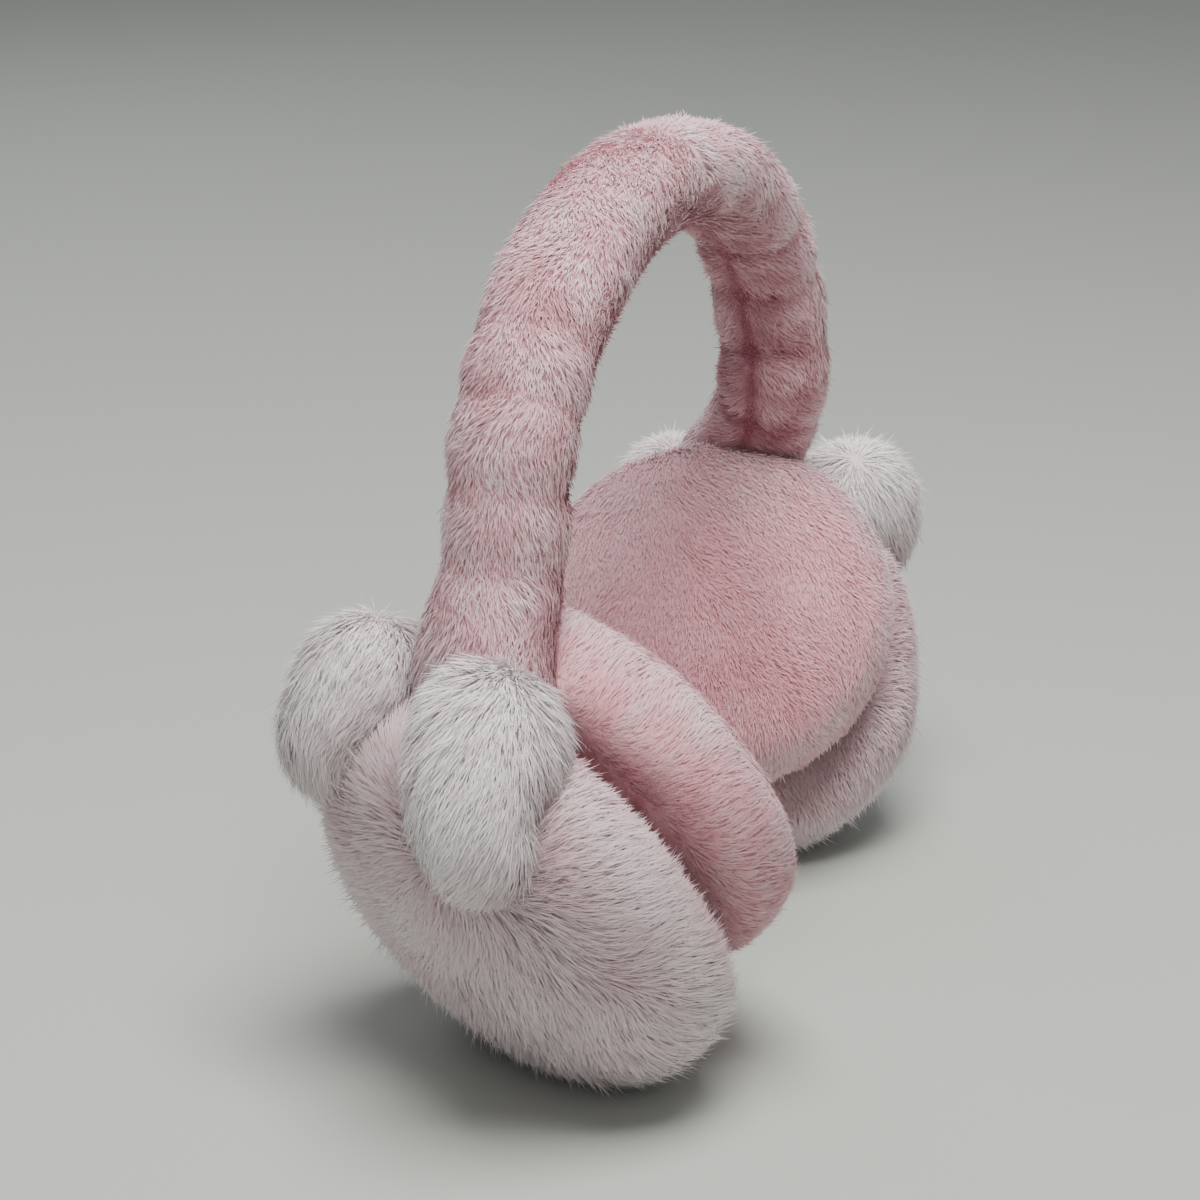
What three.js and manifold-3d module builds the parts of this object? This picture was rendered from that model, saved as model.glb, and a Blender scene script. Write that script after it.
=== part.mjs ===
// Plush fur earmuffs standing on their two cups. Millimetres, +Z up, floor at z = 0.
// X runs from one cup to the other, -Y is the front. Each solid is the outer form of its fur.
import * as THREE from 'three';
import Module from 'manifold-3d';

const wasm = await Module();
wasm.setup();

// ---- driving sizes ------------------------------------------------------------------------
const GAP = 0.4;                  // air left between neighbouring pieces
const SLIVER = 0.25;              // edges shorter than this are closed up after a cut
const PAD = { radius: 51.5, depth: 37, facePower: 2.8, backPower: 5.5, rings: 14, sides: 28 };
const SHELL = { radius: 57.5, depth: 48, widestAt: 16, drop: 2.5, domePower: 2.5, backPower: 5.5,
  rings: 16, sides: 28 };
const FLAT_DEPTH = 3.5;           // how far the fur under a cup gives where it rests
const SHELL_LUMP = 0.9;           // soft unevenness of the stuffed shell
const PAD_LUMP = 0.5;
const BAND = { halfWidth: 16, halfDepth: 13.3, power: 2.3, rings: 82, sides: 20, capRings: 4 };
const ARCH = { halfSpan: 90, shoulderZ: 131, topZ: 205.8, power: 2.1, samples: 9 };
const FOOT = { inner: 36, rim: 51, flare: 1.10, flareLength: 26 };   // radii inside the cup, then the collar

// The cups hang loosely from the band: their tops lean out and their pads turn to the front.
const CUPS = [
  { name: 'left', side: -1, x: -74.5, y: -10.3, leanDeg: 30.6, turnDeg: -26.0 },
  { name: 'right', side: 1, x: 74.5, y: 10.3, leanDeg: 42.3, turnDeg: 11.8 },
];
// Ears sit on the shell beside the foot of the band: angle round the cup from its top, distance
// from the cup's axis, distance out from the crease, turn away from the band, droop, half sizes;
// a pinch draws in the lower part of the flank that faces the cushion.
const EARS = [
  { name: 'left_ear_front', cup: 0, side: -1, aroundDeg: 24, rise: 49.5, out: 21, splayDeg: 41, droopDeg: 17,
    halfLong: 29.5, halfTall: 24, halfThick: 20, pinch: 0.6 },
  { name: 'left_ear_back', cup: 0, side: 1, aroundDeg: 34, rise: 57, out: 18, splayDeg: 28, droopDeg: 28,
    halfLong: 25, halfTall: 18.5, halfThick: 17.5 },
  { name: 'right_ear_front', cup: 1, side: -1, aroundDeg: 33.5, rise: 55, out: 18, splayDeg: 18, droopDeg: 5,
    halfLong: 25.5, halfTall: 26, halfThick: 17 },
  { name: 'right_ear_back', cup: 1, side: 1, aroundDeg: 24, rise: 53, out: 25, splayDeg: 30, droopDeg: 20,
    halfLong: 25.5, halfTall: 23, halfThick: 17 },
];
const EAR = { rings: 12, sides: 18, power: 2.2 };
// Gathers in the band's cover: distance along it from the left crease, depth and half length.
const GATHERS = [
  { along: 28, depth: 0.8, half: 4.0 }, { along: 47, depth: 1.1, half: 4.0 },
  { along: 66, depth: 1.2, half: 3.5 }, { along: 82, depth: 0.8, half: 4.5 },
  { along: 232, depth: 1.0, half: 4.0 }, { along: 253, depth: 1.2, half: 4.5 },
  { along: 275, depth: 0.9, half: 4.0 }, { along: 295, depth: 0.8, half: 3.5 },
];
const COLOURS = { pad: 0xd3a6ad, shell: 0xcfc0c3, ear: 0xd6d1d3, band: 0xd2b4b9 };

// ---- small helpers ------------------------------------------------------------------------
const rad = THREE.MathUtils.degToRad;
const vec = (x, y, z) => new THREE.Vector3(x, y, z);
const signedPower = (v, e) => Math.sign(v) * Math.abs(v) ** e;

/** Solid swept through flat stations of points, sound even where neighbouring stations cross. */
function chainOfHulls(stations) {
  const links = stations.slice(1).map((station, i) => wasm.Manifold.hull(
    [...stations[i], ...station].map((point) => point.toArray()),
  ));
  return mainBody(wasm.Manifold.union(links));
}

/** Closed solid from rings of points running between two pole points. */
function solidFromRings(startPole, ringPoints, endPole) {
  const sides = ringPoints[0].length;
  const points = [startPole, ...ringPoints.flat(), endPole];
  const faces = [];
  const at = (ring, k) => 1 + ring * sides + (k % sides);
  const last = points.length - 1;
  for (let k = 0; k < sides; k++) {
    faces.push(0, at(0, k + 1), at(0, k));
    faces.push(last, at(ringPoints.length - 1, k), at(ringPoints.length - 1, k + 1));
    for (let ring = 0; ring + 1 < ringPoints.length; ring++) {
      const [a, b, c, d] = [at(ring, k), at(ring, k + 1), at(ring + 1, k + 1), at(ring + 1, k)];
      faces.push(a, b, c, a, c, d);
    }
  }
  let volume = 0;
  for (let i = 0; i < faces.length; i += 3) {
    const [a, b, c] = [points[faces[i]], points[faces[i + 1]], points[faces[i + 2]]];
    volume += a.dot(vec(0, 0, 0).crossVectors(b, c));
  }
  if (volume < 0) for (let i = 0; i < faces.length; i += 3) faces.splice(i, 2, faces[i + 1], faces[i]);
  return new wasm.Manifold(new wasm.Mesh({
    numProp: 3,
    vertProperties: new Float32Array(points.flatMap((p) => p.toArray())),
    triVerts: new Uint32Array(faces),
  }));
}

/** Turned body in a cup's own axes: profile(t) gives [out, radius] for t from 0 to pi. */
function turnedBody(toWorld, { rings, sides }, profile, lump) {
  const point = (t, angle) => {
    const [out, radius] = profile(t);
    const r = radius + lump(t, angle) * Math.sin(t);
    return vec(out, r * Math.sin(angle), r * Math.cos(angle)).applyMatrix4(toWorld);
  };
  const ringPoints = [];
  for (let i = 1; i < rings; i++) {
    const t = (Math.PI * i) / rings;
    ringPoints.push(Array.from({ length: sides }, (_, k) => point(t, (2 * Math.PI * k) / sides)));
  }
  return solidFromRings(point(0, 0), ringPoints, point(Math.PI, 0));
}

/** The body itself, without the slivers a cut can leave on it or beside it. */
const mainBody = (solid) => solid.simplify(SLIVER).decompose().sort((a, b) => b.volume() - a.volume())[0];

const meshToManifold = (geometry) => {
  const position = geometry.getAttribute('position');
  return new wasm.Manifold(new wasm.Mesh({
    numProp: 3,
    vertProperties: new Float32Array(position.array),
    triVerts: new Uint32Array(geometry.index.array),
  }));
};

/** Axis-aligned block between two corners. */
function block(low, high) {
  const shape = new THREE.BoxGeometry(1, 1, 1).toNonIndexed();
  const corners = new Map();
  const points = [];
  const faces = [];
  const position = shape.getAttribute('position');
  for (let i = 0; i < position.count; i++) {
    const key = [position.getX(i), position.getY(i), position.getZ(i)].join();
    if (!corners.has(key)) {
      corners.set(key, points.length / 3);
      points.push(...['x', 'y', 'z'].map((axis, j) => {
        const unit = [position.getX(i), position.getY(i), position.getZ(i)][j] + 0.5;
        return low[axis] + unit * (high[axis] - low[axis]);
      }));
    }
    faces.push(corners.get(key));
  }
  const merged = new THREE.BufferGeometry();
  merged.setAttribute('position', new THREE.Float32BufferAttribute(points, 3));
  merged.setIndex(faces);
  return meshToManifold(merged);
}

// ---- cups -----------------------------------------------------------------------------------
/** Shell outline: [out, radius] for t from the dome's middle (0) round into the crease (pi). */
function shellProfile(t, grow = 0) {
  const dome = Math.cos(t) > 0;
  const power = dome ? SHELL.domePower : SHELL.backPower;
  const half = dome ? SHELL.depth - SHELL.widestAt : SHELL.widestAt - GAP / 2;
  const out = SHELL.widestAt + signedPower(Math.cos(t), 2 / power) * (half + grow);
  return [out, (SHELL.radius + grow) * Math.sin(t) ** (2 / power)];
}

/** Axes of one cup: x out through the shell, y to the back, z to the cup's top. */
function cupMatrix(cup) {
  const lean = rad(cup.leanDeg);
  const turn = new THREE.Matrix4().makeRotationZ(rad(cup.turnDeg));
  const out = vec(cup.side * Math.cos(lean), 0, -Math.sin(lean)).applyMatrix4(turn);
  const up = vec(cup.side * Math.sin(lean), 0, Math.cos(lean)).applyMatrix4(turn);
  const back = vec(0, 1, 0).applyMatrix4(turn);
  const reach = Array.from({ length: 181 }, (_, i) => {
    const [along, radius] = shellProfile(rad(i));
    return Math.sin(lean) * along + Math.cos(lean) * (radius + SHELL.drop);
  });
  const height = Math.max(...reach) - FLAT_DEPTH;
  return new THREE.Matrix4().makeBasis(out, back, up).setPosition(cup.x, cup.y, height);
}

/** Inner cushion: a plump pillow with a gently crowned face. */
function padBody(toWorld, grow = 0) {
  const half = (PAD.depth - GAP / 2) / 2;
  const profile = (t) => {
    const power = Math.cos(t) < 0 ? PAD.facePower : PAD.backPower;
    const out = signedPower(Math.cos(t), 2 / power) * (half + grow) - half - GAP / 2;
    return [out, (PAD.radius + grow) * Math.sin(t) ** (2 / power)];
  };
  const lump = (t, angle) => PAD_LUMP * Math.sin(3 * angle + 0.6) * Math.cos(t + 0.4);
  return turnedBody(toWorld, PAD, profile, lump);
}

/** Outer shell: a deep dome of long fur, rounded back into the crease. */
function shellBody(toWorld, grow = 0) {
  const lump = (t, angle) => SHELL_LUMP * (Math.sin(4 * angle + 1.1) * Math.cos(2 * t)
    + 0.6 * Math.sin(7 * angle + 2.0) * Math.sin(t));
  const lowered = toWorld.clone().multiply(new THREE.Matrix4().makeTranslation(0, 0, -SHELL.drop));
  return turnedBody(lowered, SHELL, (t) => shellProfile(t, grow), lump);
}

/** One stuffed ear: a thick rounded lobe lying out over the shell's shoulder. */
function earBody(ear, toWorld, grow = 0) {
  const around = rad(ear.aroundDeg);
  const rise = vec(0, ear.side * Math.sin(around), Math.cos(around));
  const away = vec(0, ear.side * Math.cos(around), -Math.sin(around));
  const axis = vec(1, 0, 0);
  const splay = rad(ear.splayDeg);
  const droop = rad(ear.droopDeg);
  const long = axis.clone().multiplyScalar(Math.cos(splay)).addScaledVector(away, Math.sin(splay));
  const thick = away.clone().multiplyScalar(Math.cos(splay)).addScaledVector(axis, -Math.sin(splay));
  const length = long.clone().multiplyScalar(Math.cos(droop)).addScaledVector(rise, -Math.sin(droop));
  const tall = rise.clone().multiplyScalar(Math.cos(droop)).addScaledVector(long, Math.sin(droop));
  const centre = rise.clone().multiplyScalar(ear.rise).addScaledVector(axis, ear.out);
  const e = 2 / EAR.power;
  const { smoothstep } = THREE.MathUtils;
  const point = (t, angle) => {
    const ring = Math.sin(t) ** e;
    const l = (ear.halfLong + grow) * signedPower(Math.cos(t), e);
    const w = (ear.halfTall + grow) * ring * signedPower(Math.cos(angle), e);
    const k = (ear.halfThick + grow) * ring * signedPower(Math.sin(angle), e);
    const drawn = (ear.pinch ?? 0) * smoothstep(l, -4, 10) * smoothstep(k, 5, 13) * (k - 6);
    return centre.clone().addScaledVector(length, l).addScaledVector(tall, w)
      .addScaledVector(thick, k - drawn).applyMatrix4(toWorld);
  };
  const ringPoints = [];
  for (let i = 1; i < EAR.rings; i++) {
    const t = (Math.PI * i) / EAR.rings;
    const turn = (k) => (2 * Math.PI * (k + 0.5)) / EAR.sides;
    ringPoints.push(Array.from({ length: EAR.sides }, (_, k) => point(t, turn(k))));
  }
  return solidFromRings(point(0, 0), ringPoints, point(Math.PI, 0));
}

// ---- headband -------------------------------------------------------------------------------
/** Centre line from inside the left crease, over the arch, into the right crease. */
function bandCurve(matrices) {
  const inCup = (matrix, distance) => vec(0, 0, distance).applyMatrix4(matrix);
  const arch = Array.from({ length: ARCH.samples }, (_, i) => {
    const angle = Math.PI * (1 - i / (ARCH.samples - 1));
    return vec(
      ARCH.halfSpan * signedPower(Math.cos(angle), 2 / ARCH.power),
      0,
      ARCH.shoulderZ + (ARCH.topZ - ARCH.shoulderZ) * Math.sin(angle) ** (2 / ARCH.power),
    );
  });
  return new THREE.CatmullRomCurve3([
    inCup(matrices[0], FOOT.inner), inCup(matrices[0], FOOT.rim), ...arch,
    inCup(matrices[1], FOOT.rim), inCup(matrices[1], FOOT.inner),
  ], false, 'centripetal');
}

/** Flattened fur tube, gathered here and there and flared where it enters each cup. */
function bandBody(curve, matrices, grow = 0) {
  const length = curve.getLength();
  const inside = FOOT.rim - FOOT.inner;
  const backs = matrices.map((m) => vec(0, 1, 0).transformDirection(m));
  const ringAt = (along, scale) => {
    const u = THREE.MathUtils.clamp(along / length, 0, 1);
    const tangent = curve.getTangentAt(u);
    const centre = curve.getPointAt(u).addScaledVector(tangent, along - u * length);
    const blend = [1 - THREE.MathUtils.smoothstep(u, 0.05, 0.35), THREE.MathUtils.smoothstep(u, 0.65, 0.95)];
    const wide = vec(0, 1 - blend[0] - blend[1], 0)
      .addScaledVector(backs[0], blend[0]).addScaledVector(backs[1], blend[1]);
    wide.addScaledVector(tangent, -wide.dot(tangent)).normalize();
    const deep = vec(0, 0, 0).crossVectors(tangent, wide);
    const fromEnd = Math.max(0, Math.min(along, length - along) - inside);
    const flare = 1 + (FOOT.flare - 1) * (1 - THREE.MathUtils.smoothstep(fromEnd, 0, FOOT.flareLength));
    const gather = GATHERS.reduce((sum, g) => sum
      + g.depth * Math.exp(-(((along - inside - g.along) / g.half) ** 2)), 0);
    const a = (BAND.halfWidth * flare - gather + grow) * scale;
    const b = (BAND.halfDepth * flare - gather + grow) * scale;
    const e = 2 / BAND.power;
    return Array.from({ length: BAND.sides }, (_, k) => {
      const angle = (2 * Math.PI * (k + 0.5)) / BAND.sides;
      return centre.clone().addScaledVector(wide, a * signedPower(Math.cos(angle), e))
        .addScaledVector(deep, b * signedPower(Math.sin(angle), e));
    });
  };
  const cap = BAND.halfDepth * 0.6;
  const rings = [];
  for (let i = 1; i <= BAND.capRings; i++) {
    const t = (Math.PI / 2) * (i / BAND.capRings);
    rings.push(ringAt(cap * (1 - Math.cos(t)) - grow * Math.cos(t), Math.sin(t) ** 0.8));
  }
  for (let i = 1; i < BAND.rings; i++) rings.push(ringAt(cap + ((length - 2 * cap) * i) / BAND.rings, 1));
  for (let i = BAND.capRings; i >= 1; i--) {
    const t = (Math.PI / 2) * (i / BAND.capRings);
    rings.push(ringAt(length - cap * (1 - Math.cos(t)) + grow * Math.cos(t), Math.sin(t) ** 0.8));
  }
  const stations = [[ringAt(-grow, 0)[0]], ...rings, [ringAt(length + grow, 0)[0]]];
  return chainOfHulls(stations);
}

// ---- assembly -------------------------------------------------------------------------------
const matrices = CUPS.map(cupMatrix);
const curve = bandCurve(matrices);
const band = bandBody(curve, matrices);
const bandRoom = bandBody(curve, matrices, GAP);
const belowFloor = block(vec(-400, -400, -100), vec(400, 400, 0));

const solids = [{ name: 'headband_fur', solid: band, colour: COLOURS.band }];
CUPS.forEach((cup, i) => {
  const shell = mainBody(shellBody(matrices[i]).subtract(bandRoom).subtract(belowFloor));
  const pad = mainBody(padBody(matrices[i]).subtract(bandRoom));
  solids.push({ name: `${cup.name}_shell`, solid: shell, colour: COLOURS.shell });
  solids.push({ name: `${cup.name}_pad`, solid: pad, colour: COLOURS.pad });
});
EARS.forEach((ear) => {
  const matrix = matrices[ear.cup];
  const pair = EARS.filter((other) => other.cup === ear.cup && other.side !== ear.side);
  let solid = earBody(ear, matrix)
    .subtract(shellBody(matrix, GAP)).subtract(padBody(matrix, GAP)).subtract(bandRoom);
  if (ear.side > 0) pair.forEach((other) => { solid = solid.subtract(earBody(other, matrix, GAP)); });
  solids.push({ name: ear.name, solid: mainBody(solid), colour: COLOURS.ear });
});

// The origin lies on the floor under the middle of the whole.
const bounds = new THREE.Box3();
solids.forEach(({ solid }) => {
  const { min, max } = solid.boundingBox();
  bounds.expandByPoint(vec(...min)).expandByPoint(vec(...max));
});
const centre = bounds.getCenter(vec(0, 0, 0));

const group = new THREE.Group();
group.name = 'fur_earmuffs';
solids.forEach(({ name, solid, colour }) => {
  const { vertProperties, triVerts } = solid.translate([-centre.x, -centre.y, -bounds.min.z]).getMesh();
  const geometry = new THREE.BufferGeometry();
  geometry.setAttribute('position', new THREE.Float32BufferAttribute(vertProperties, 3));
  geometry.setIndex(Array.from(triVerts));
  geometry.computeVertexNormals();
  const mesh = new THREE.Mesh(geometry, new THREE.MeshStandardMaterial({ color: colour, roughness: 0.95 }));
  mesh.name = name;
  group.add(mesh);
});

export default group;
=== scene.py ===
# Plush fur earmuffs: stuffed cloth bodies swelled by a cloth solve, then covered with combed fur.
# Every soft body is a closed form given by two angles, so one set of sizes serves its shape, its
# pile and its colour. Sizes are in millimetres in the row frame until a mesh is written.
import logging
import math
from abc import ABC, abstractmethod
from dataclasses import dataclass, field
from enum import Enum

import bmesh
import bpy
import numpy as np
from mathutils import Euler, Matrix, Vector
from mathutils.kdtree import KDTree

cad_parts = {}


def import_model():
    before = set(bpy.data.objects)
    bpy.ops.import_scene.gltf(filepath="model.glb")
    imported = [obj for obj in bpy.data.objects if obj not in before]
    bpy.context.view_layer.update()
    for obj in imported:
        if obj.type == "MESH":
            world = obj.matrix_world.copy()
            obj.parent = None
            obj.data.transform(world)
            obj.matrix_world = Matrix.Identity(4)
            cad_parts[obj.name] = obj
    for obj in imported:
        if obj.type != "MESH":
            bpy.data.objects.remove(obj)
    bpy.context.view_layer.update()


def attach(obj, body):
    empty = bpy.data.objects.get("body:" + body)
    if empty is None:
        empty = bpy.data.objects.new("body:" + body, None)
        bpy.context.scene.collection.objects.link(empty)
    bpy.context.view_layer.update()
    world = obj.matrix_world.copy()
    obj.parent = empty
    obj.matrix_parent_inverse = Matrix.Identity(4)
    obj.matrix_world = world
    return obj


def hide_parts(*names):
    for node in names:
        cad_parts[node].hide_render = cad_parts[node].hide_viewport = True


log = logging.getLogger("earmuffs")
logging.basicConfig(level=logging.INFO, format="%(message)s")

MM = 0.001
Array = np.ndarray
WAVES_PER_OCTAVE = 5
OCTAVE_FADE = 0.55  # height of each finer octave against the one before
WAVE_SCALE = 3.2  # brings the sum of all the waves to about -1 to 1


# ---- arithmetic ----------------------------------------------------------------------------
def unit(v: Array) -> Array:
    """Vectors scaled to length one."""
    return v / np.maximum(np.linalg.norm(v, axis=-1, keepdims=True), 1e-9)


def dot(a: Array, b: Array) -> Array:
    """Row by row dot product, kept as a column."""
    return (a * b).sum(-1, keepdims=True)


def signed_power(v: Array, e: float) -> Array:
    """|v| to the power e, with the sign of v."""
    return np.sign(v) * np.abs(v) ** e


def smoothstep(v: Array, low: float, high: float) -> Array:
    """0 below low, 1 above high, smooth between them."""
    k = np.clip((v - low) / (high - low), 0.0, 1.0)
    return k * k * (3 - 2 * k)


def waves(points: Array, wavelength: float, seed: int, octaves: int = 3) -> Array:
    """Smooth seeded unevenness over space.

    Args:
        points: places in millimetres, one row each.
        wavelength: size of the largest swell, in millimetres.
        seed: which pattern.
        octaves: how many finer swells are added, each half the size.
    Returns:
        One value per place, about -1 to 1.
    """
    rng = np.random.default_rng(seed)
    total = np.zeros(len(points))
    for octave in range(octaves):
        for _ in range(WAVES_PER_OCTAVE):
            direction = unit(rng.normal(size=(1, 3)))[0]
            phase = rng.uniform(0, 2 * math.pi)
            k = 2 * math.pi * 2**octave / wavelength * rng.uniform(0.7, 1.3)
            total += np.sin(points @ direction * k + phase) * OCTAVE_FADE**octave / WAVE_SCALE
    return total


def waves3(points: Array, wavelength: float, seed: int) -> Array:
    """Three independent fields of waves(), as vectors."""
    return np.stack([waves(points, wavelength, seed + k) for k in range(3)], -1)


# ---- where things are ----------------------------------------------------------------------
class Side(Enum):
    """Which end of the headband."""

    LEFT = -1
    RIGHT = 1


@dataclass(frozen=True)
class PadSizes:
    """Inner cushion, measured in from the crease."""

    radius: float = 51.5
    depth: float = 37.0
    face_power: float = 2.7
    back_power: float = 5.5
    lump: float = 0.5
    rosy: tuple[float, float] = (-22.0, -26.0)


@dataclass(frozen=True)
class ShellSizes:
    """Outer dome, measured out from the crease."""

    radius: float = 57.5
    depth: float = 48.0
    widest_at: float = 16.0
    drop: float = 2.5
    dome_power: float = 2.5
    back_power: float = 5.5
    lump: float = 0.9
    flat_depth: float = 3.5
    fan: tuple[float, float, float] = (32.0, -53.6, -2.7)


PAD, SHELL = PadSizes(), ShellSizes()
CREASE = 0.2  # half the air between pad and shell


@dataclass(frozen=True)
class Cup:
    """One cup, hanging loosely: its top leans out and its pad turns to the front."""

    side: Side
    x: float
    y: float
    lean_deg: float
    turn_deg: float

    @property
    def label(self) -> str:
        """Plain name of the cup's side."""
        return self.side.name.lower()

    @property
    def axes(self) -> Array:
        """Rows: out through the shell, to the back, to the cup's top."""
        lean, turn, s = math.radians(self.lean_deg), math.radians(self.turn_deg), self.side.value
        spin = np.array([
            [math.cos(turn), math.sin(turn), 0],
            [-math.sin(turn), math.cos(turn), 0],
            [0, 0, 1],
        ])
        own = np.array([
            [s * math.cos(lean), 0, -math.sin(lean)],
            [0, 1, 0],
            [s * math.sin(lean), 0, math.cos(lean)],
        ])
        return own @ spin

    @property
    def origin(self) -> Array:
        """Centre of the crease, at the height where the shell rests on its flat."""
        t = np.radians(np.arange(181.0))
        out, radius = shell_profile(t)
        lean = math.radians(self.lean_deg)
        reach = np.sin(lean) * out + np.cos(lean) * (radius + SHELL.drop)
        return np.array([self.x, self.y, reach.max() - SHELL.flat_depth])

    def to_world(self, local: Array) -> Array:
        """Places given along the cup's axes, in the row frame."""
        return self.origin + local @ self.axes

    def to_local(self, world: Array) -> Array:
        """Places given in the row frame, along the cup's axes."""
        return (world - self.origin) @ self.axes.T


def shell_profile(t: Array, grow: float = 0.0) -> tuple[Array, Array]:
    """Shell outline.

    Args:
        t: polar angle from the dome's middle (0) to the crease (pi).
        grow: millimetres added outwards.
    Returns:
        Distance out from the crease, and radius.
    """
    dome = np.cos(t) > 0
    e = np.where(dome, 2 / SHELL.dome_power, 2 / SHELL.back_power)
    half = np.where(dome, SHELL.depth - SHELL.widest_at, SHELL.widest_at - CREASE)
    out = SHELL.widest_at + np.sign(np.cos(t)) * np.abs(np.cos(t)) ** e * (half + grow)
    return out, (SHELL.radius + grow) * np.abs(np.sin(t)) ** e


LEFT = Cup(Side.LEFT, x=-74.64, y=-11.58, lean_deg=30.6, turn_deg=-26.0)
RIGHT = Cup(Side.RIGHT, x=74.36, y=9.02, lean_deg=42.3, turn_deg=11.8)


# ---- forms -----------------------------------------------------------------------------------
class Form(ABC):
    """A closed soft body whose surface is given by a polar angle t and an angle a round it."""

    node: str
    rings: int = 48
    sides: int = 64

    @abstractmethod
    def surface(self, t: Array, a: Array, grow: float = 0.0) -> Array:
        """World places on the form, grown outwards by some millimetres."""

    @abstractmethod
    def comb(self, points: Array, normals: Array) -> Array:
        """The way the pile is stroked at each place; its part along the normal is ignored."""

    def depth_inside(self, points: Array) -> Array:
        """Below 1 inside the form, 1 on it, more outside; used to clear neighbours."""
        raise NotImplementedError

    def pile_length(self, points: Array, normals: Array) -> Array:
        """Length of the pile relative to the coat's own, 0 where nothing grows."""
        return np.ones(len(points))

    def tone(self, points: Array, normals: Array) -> Array:
        """Colour of the pile from 0, deep rose, to 1, nearly white."""
        return np.full(len(points), 0.5)


@dataclass
class PadForm(Form):
    """Inner cushion: a plump pillow with a gently crowned face."""

    cup: Cup

    def __post_init__(self) -> None:
        """Names the cushion after its cup."""
        self.node = f"{self.cup.label}_pad"

    def surface(self, t: Array, a: Array, grow: float = 0.0) -> Array:
        """Places on the cushion: crowned on its face, squarer at the crease."""
        half = (PAD.depth - CREASE) / 2
        e = np.where(np.cos(t) < 0, 2 / PAD.face_power, 2 / PAD.back_power)
        out = np.sign(np.cos(t)) * np.abs(np.cos(t)) ** e * (half + grow) - half - CREASE
        radius = (PAD.radius + grow) * np.abs(np.sin(t)) ** e
        radius = radius + PAD.lump * np.sin(3 * a + 0.6) * np.cos(t + 0.4) * np.sin(t)
        return self.cup.to_world(np.stack([out, radius * np.sin(a), radius * np.cos(a)], -1))

    def depth_inside(self, points: Array) -> Array:
        """Below 1 inside the cushion, 1 on it."""
        p = self.cup.to_local(points)
        half = (PAD.depth - CREASE) / 2
        x = np.abs(p[:, 0] + half + CREASE) / half
        r = np.hypot(p[:, 1], p[:, 2]) / PAD.radius
        return (x**PAD.back_power + r**PAD.back_power) ** (1 / PAD.back_power)

    def _face(self, normals: Array) -> Array:
        """1 on the flat face, 0 on the side."""
        return smoothstep(-(normals @ self.cup.axes[0]), 0.25, 0.85)

    def comb(self, points: Array, normals: Array) -> Array:
        """Down and outwards over the face, across the side the same way through both cups."""
        p = self.cup.to_local(points)
        radial = unit(np.stack([np.zeros(len(p)), p[:, 1], p[:, 2]], -1)) @ self.cup.axes
        face = self._face(normals)[:, None]
        down = -self.cup.axes[2] - 0.45 * self.cup.axes[1]
        side = self.cup.side.value * self.cup.axes[0] + np.array([0, 0, -0.35])
        return face * (down + 0.45 * radial) + (1 - face) * side

    def pile_length(self, points: Array, normals: Array) -> Array:
        """Shorter on the face, none where the shell hides it."""
        p = self.cup.to_local(points)
        face = self._face(normals)
        length = (1.35 - 0.35 * face) * (1 - 0.2 * smoothstep(p[:, 0], -9, -3))
        return length * np.where((p[:, 0] > -3.0) & (np.hypot(p[:, 1], p[:, 2]) < PAD.radius - 9), 0.0, 1.0)

    def tone(self, points: Array, normals: Array) -> Array:
        """Rosy in the lower front of the face, paler towards the rim, mottled on the side, with painted shade
        in the crease.
        """
        p = self.cup.to_local(points)
        face = self._face(normals)
        r = np.hypot(p[:, 1], p[:, 2]) / PAD.radius
        # crease: painted shade in the groove where the cushion meets the shell, taken off the tone below.
        crease = smoothstep(p[:, 0], -4.5, -1.0) * (1 - smoothstep(r, 0.74, 0.86))
        rim = smoothstep(-p[:, 0], 12, 26) * (1 - face)
        rosy = np.hypot(p[:, 1] - PAD.rosy[0], p[:, 2] - PAD.rosy[1])
        paling = 0.12 * smoothstep(r, 0.75, 1.0) + 0.3 * smoothstep(rosy, 15, 75)
        mottle = 0.1 * waves(points, 10.0, 3) * (1 - face)
        return 0.38 + paling * face + 0.16 * (1 - face) + 0.24 * rim + mottle - 0.1 * crease


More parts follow.
